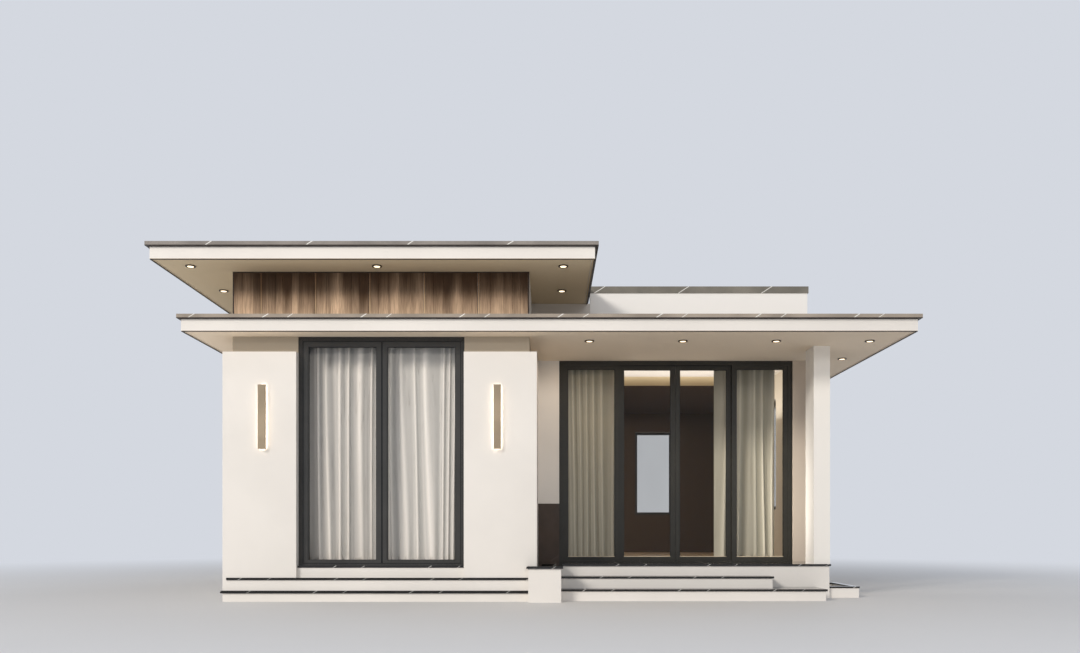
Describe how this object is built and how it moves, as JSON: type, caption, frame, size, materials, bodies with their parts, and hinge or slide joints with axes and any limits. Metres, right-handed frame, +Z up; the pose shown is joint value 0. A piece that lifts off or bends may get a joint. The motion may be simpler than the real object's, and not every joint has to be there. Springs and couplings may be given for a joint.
{
  "type": "bungalow",
  "caption": "Single-storey modern house with a projecting bedroom block, stacked flat roofs, a raised porch with wide steps, a planter and a sliding glass door.",
  "frame": {"origin": "middle of the main body footprint, at ground level", "axes": "+X to the right seen from the front, +Y to the back, +Z up"},
  "size_m": [10.89, 10.207, 5.1],
  "materials": {
    "white_render": "fine painted render, matte",
    "dark_stone": "honed dark stone with pale veins",
    "floor_tile": "satin porcelain floor tile",
    "roof_screed": "matte cement screed",
    "anthracite_frame": "anthracite powder coat, satin",
    "clear_glass": "clear double glazing",
    "wood_boards": "oiled dark brown boards",
    "lamp_bronze": "pale bronze coat, satin",
    "light_trim": "bronze trim round a warm lens",
    "curtain_cloth": "sheer woven cloth, matte",
    "rail_metal": "satin"
  },
  "bodies": {
    "house": {"base_bands": "dark_stone", "block_front_piers": "white_render", "block_side_wall": "white_render", "clerestory_front": "white_render", "clerestory_rear": "white_render", "clerestory_sides": "white_render", "curtain_rails": "rail_metal", "curtains": "curtain_cloth", "door_dado": "dark_stone", "door_fixed_glass": "clear_glass", "door_fixed_leaves": "anthracite_frame", "door_frame": "anthracite_frame", "door_piers": "white_render", "floor_tiles": "floor_tile", "front_panels": "white_render", "left_wall": "white_render", "lower_roof_cap": "dark_stone", "lower_roof_slab": "white_render", "parapet_coping": "dark_stone", "parapet_front": "white_render", "parapet_rear": "white_render", "parapet_right": "white_render", "planter_box": "white_render", "planter_rim": "dark_stone", "plinth_block": "white_render", "plinth_main": "white_render", "porch_base": "white_render", "porch_column": "white_render", "rear_wall": "white_render", "right_wall": "white_render", "roof_deck": "roof_screed", "side_bed_coping": "dark_stone", "side_bed_kerb": "white_render", "side_panels": "white_render", "side_window_frames": "anthracite_frame", "side_window_glass": "clear_glass", "soffit_downlights": "light_trim", "steps": "white_render", "stone_sills": "dark_stone", "stone_treads": "dark_stone", "upper_roof_cap": "dark_stone", "upper_roof_slab": "white_render", "wall_lamps": "lamp_bronze", "window_apron": "white_render", "window_frame": "anthracite_frame", "window_glass": "clear_glass", "window_sashes": "anthracite_frame", "wood_cladding": "wood_boards"},
    "door_leaf_left": {"door_leaf_left": "anthracite_frame", "door_leaf_left_glass": "clear_glass"},
    "door_leaf_right": {"door_leaf_right": "anthracite_frame", "door_leaf_right_glass": "clear_glass"}
  },
  "joints": [
    {"name": "door_leaf_left_slide", "type": "slide", "parent": "house", "child": "door_leaf_left", "axis": [-1, 0, 0], "range_m": [0, 0.9]},
    {"name": "door_leaf_right_slide", "type": "slide", "parent": "house", "child": "door_leaf_right", "axis": [1, 0, 0], "range_m": [0, 0.9]}
  ]
}
